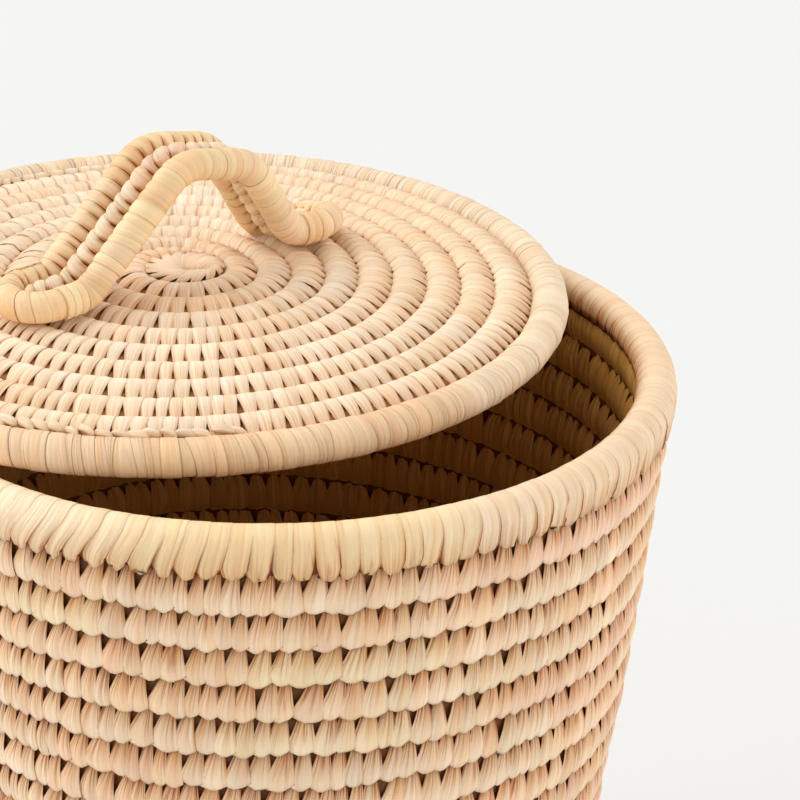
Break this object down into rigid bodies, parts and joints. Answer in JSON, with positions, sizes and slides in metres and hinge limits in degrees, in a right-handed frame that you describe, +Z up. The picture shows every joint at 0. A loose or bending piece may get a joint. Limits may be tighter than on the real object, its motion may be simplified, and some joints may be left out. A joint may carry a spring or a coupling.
{
  "type": "woven waste bin",
  "caption": "Round tapering waste bin of coiled and sewn palm leaf, with a wrapped rim and a loose flat lid that lifts off by a strap handle sewn on its top.",
  "frame": {"origin": "middle of the underside, on the floor that the bin stands on", "axes": "+Z up; +X along the handle; +Y the way that most of the lid's slide goes"},
  "size_m": [0.2542, 0.2952, 0.3326],
  "materials": {
    "sewn_coil": "dry palm-leaf strips sewn over a coiled grass bundle, satin sheen, varied from cream to pinkish tan",
    "leaf_wrap": "pale palm-leaf strips wrapped tightly side by side, satin sheen with fine lengthwise fibres",
    "leaf_strip": "single pale palm-leaf strip",
    "grass_bundle": "bundle of dry grass, hidden inside its wrapping"
  },
  "bodies": {
    "bin": {"base_knot": "sewn_coil", "base_coil": "sewn_coil", "wall_coil": "sewn_coil", "rim_core": "grass_bundle", "rim_wrap": "leaf_wrap"},
    "lid": {"lid_knot": "sewn_coil", "lid_coil": "sewn_coil", "lid_edge_core": "grass_bundle", "lid_edge_wrap": "leaf_wrap", "handle_loop_core": "grass_bundle", "handle_loop_wrap": "leaf_wrap", "handle_centre_strand": "sewn_coil", "foot_lashing_left_front": "leaf_strip", "foot_lashing_left_rear": "leaf_strip", "foot_lashing_right_front": "leaf_strip", "foot_lashing_right_rear": "leaf_strip"}
  },
  "joints": [
    {"name": "lid_lift", "type": "slide", "parent": "bin", "child": "lid", "axis": [0, 0, 1], "range_m": [0, 0.15]}
  ]
}
